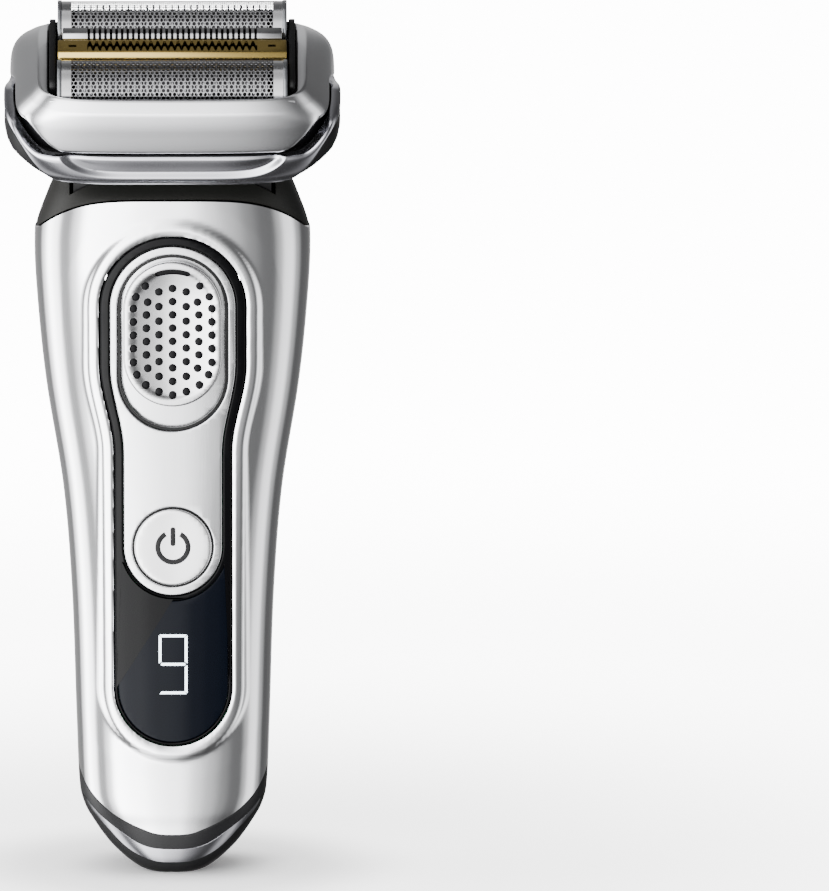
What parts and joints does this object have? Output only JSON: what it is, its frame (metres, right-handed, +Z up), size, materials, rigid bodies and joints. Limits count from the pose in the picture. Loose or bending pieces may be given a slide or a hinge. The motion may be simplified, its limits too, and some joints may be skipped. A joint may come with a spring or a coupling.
{
  "type": "foil shaver",
  "caption": "Cordless foil shaver with a swivelling head, a lift-off foil cassette, a lock slider, a power button and a display window.",
  "frame": {"origin": "centre of the flat foot face that the shaver stands on", "axes": "+Z up along the handle, -Y towards the front with the power button, +X to the right seen from the front"},
  "size_m": [0.0648, 0.0467, 0.168],
  "materials": {
    "silver_shell": "satin",
    "silver_ring": "satin",
    "silver_frame": "satin",
    "satin_panel": "satin",
    "satin_slider": "satin",
    "satin_button": "satin",
    "charcoal_grip": "soft matte",
    "charcoal_collar": "matte",
    "charcoal_bowl": "matte",
    "grey_band": "matte",
    "black_foot": "matte",
    "black_gloss": "gloss",
    "black_glass": "gloss",
    "black_plastic": "matte",
    "grey_plastic": "matte",
    "green_board": "solder mask",
    "battery_sleeve": "shrink sleeve",
    "copper_coil": "enamelled wire",
    "gold_contact": "plated",
    "gold_comb": "titanium nitride gold",
    "guard_steel": "brushed",
    "foil_steel": "perforated",
    "steel": "machined"
  },
  "bodies": {
    "handle": {"front_shell": "silver_shell", "rear_shell": "charcoal_grip", "bottom_band": "grey_band", "bottom_trim": "silver_shell", "foot_cap": "black_foot", "contact_pin_left": "gold_contact", "contact_pin_right": "gold_contact", "panel_trim": "black_gloss", "display_window": "black_glass", "control_panel": "satin_panel", "slider_track": "satin_panel", "inner_chassis": "grey_plastic", "chassis_screw_left": "steel", "chassis_screw_right": "steel", "battery_cell": "battery_sleeve", "battery_tab_low": "steel", "battery_tab_high": "steel", "main_board": "green_board", "power_switch": "black_plastic", "display_board": "green_board", "neck_collar": "charcoal_collar", "pivot_pin_left": "steel", "pivot_pin_right": "steel", "rocker_pin": "steel"},
    "power_button": {"power_button": "satin_button"},
    "lock_slider": {"lock_slider": "satin_slider"},
    "lock_rocker": {"lock_rocker": "steel"},
    "head": {"head_bowl": "charcoal_bowl", "head_ring": "silver_ring", "head_deck": "black_plastic", "stator_core": "steel", "motor_coil": "copper_coil"},
    "release_left": {"release_button_left": "charcoal_grip"},
    "release_right": {"release_button_right": "charcoal_grip"},
    "drive_front": {"armature_front": "steel", "drive_pin_front": "steel", "drive_pin_middle": "steel"},
    "drive_rear": {"armature_rear": "steel", "drive_pin_rear": "steel"},
    "cassette": {"cassette_frame": "silver_frame", "cassette_base": "black_plastic", "foil_carrier": "black_plastic"},
    "front_float": {"front_foil": "foil_steel"},
    "rear_float": {"rear_foil": "foil_steel"},
    "middle_float": {"trimmer_comb": "gold_comb", "skin_guard": "guard_steel"},
    "front_cutter": {"cutter_front": "steel"},
    "rear_cutter": {"cutter_rear": "steel"},
    "middle_cutter": {"trimmer_cutter": "steel"},
    "hair_trimmer": {"trimmer_carriage": "charcoal_grip", "trimmer_comb_plate": "steel"},
    "hair_blade": {"trimmer_blade": "steel"}
  },
  "joints": [
    {"name": "head_swivel", "type": "hinge", "parent": "handle", "child": "head", "pos_m": [0, -0.002, 0.1365], "axis": [1, 0, 0], "range_deg": [-20, 20], "stiffness_Nm_per_rad": 0.2, "springref_deg": -1.6},
    {"name": "lock_slide", "type": "slide", "parent": "handle", "child": "lock_slider", "axis": [0, 0.0579, -0.9983], "range_m": [0, 0.0034]},
    {"name": "lock_rocker_turn", "type": "hinge", "parent": "handle", "child": "lock_rocker", "pos_m": [0, -0.0052, 0.1252], "axis": [1, 0, 0], "range_deg": [0, 24.2]},
    {"name": "power_press", "type": "slide", "parent": "handle", "child": "power_button", "axis": [0, 1, 0], "range_m": [0, 0.0006], "stiffness_N_per_m": 800, "springref_m": -0.0006},
    {"name": "release_left_press", "type": "slide", "parent": "head", "child": "release_left", "axis": [1, 0, 0], "range_m": [0, 0.0011], "stiffness_N_per_m": 900, "springref_m": -0.0005},
    {"name": "release_right_press", "type": "slide", "parent": "head", "child": "release_right", "axis": [-1, 0, 0], "range_m": [0, 0.0011], "stiffness_N_per_m": 900, "springref_m": -0.0005},
    {"name": "drive_front_slide", "type": "slide", "parent": "head", "child": "drive_front", "axis": [1, 0, 0], "range_m": [-0.0008, 0.0008], "stiffness_N_per_m": 400},
    {"name": "drive_rear_slide", "type": "slide", "parent": "head", "child": "drive_rear", "axis": [1, 0, 0], "range_m": [-0.0009, 0.0009]},
    {"name": "cassette_lift", "type": "slide", "parent": "head", "child": "cassette", "axis": [0, -0.4226, 0.9063], "range_m": [0, 0.03]},
    {"name": "front_float_slide", "type": "slide", "parent": "cassette", "child": "front_float", "axis": [0, -0.4226, 0.9063], "range_m": [-0.0018, 0], "stiffness_N_per_m": 500, "springref_m": 0.001},
    {"name": "rear_float_slide", "type": "slide", "parent": "cassette", "child": "rear_float", "axis": [0, -0.4226, 0.9063], "range_m": [-0.0018, 0], "stiffness_N_per_m": 500, "springref_m": 0.001},
    {"name": "middle_float_slide", "type": "slide", "parent": "cassette", "child": "middle_float", "axis": [0, -0.4226, 0.9063], "range_m": [-0.001, 0], "stiffness_N_per_m": 600, "springref_m": 0.001},
    {"name": "front_cutter_slide", "type": "slide", "parent": "front_float", "child": "front_cutter", "axis": [1, 0, 0], "range_m": [-0.0009, 0.0009]},
    {"name": "rear_cutter_slide", "type": "slide", "parent": "rear_float", "child": "rear_cutter", "axis": [1, 0, 0], "range_m": [-0.0009, 0.0009]},
    {"name": "middle_cutter_slide", "type": "slide", "parent": "middle_float", "child": "middle_cutter", "axis": [1, 0, 0], "range_m": [-0.0009, 0.0009]},
    {"name": "hair_trimmer_slide", "type": "slide", "parent": "handle", "child": "hair_trimmer", "axis": [0, 0.0553, 0.9985], "range_m": [0, 0.012]},
    {"name": "hair_blade_slide", "type": "slide", "parent": "hair_trimmer", "child": "hair_blade", "axis": [1, 0, 0], "range_m": [-0.0006, 0.0006], "stiffness_N_per_m": 200}
  ],
  "couplings": [
    {"joint": "lock_rocker_turn", "follows": "lock_slide", "rad_per_m": 123.2},
    {"joint": "drive_rear_slide", "follows": "drive_front_slide", "ratio": -1},
    {"joint": "front_cutter_slide", "follows": "drive_front_slide", "ratio": 1},
    {"joint": "middle_cutter_slide", "follows": "drive_front_slide", "ratio": 1},
    {"joint": "rear_cutter_slide", "follows": "drive_front_slide", "ratio": -1}
  ]
}
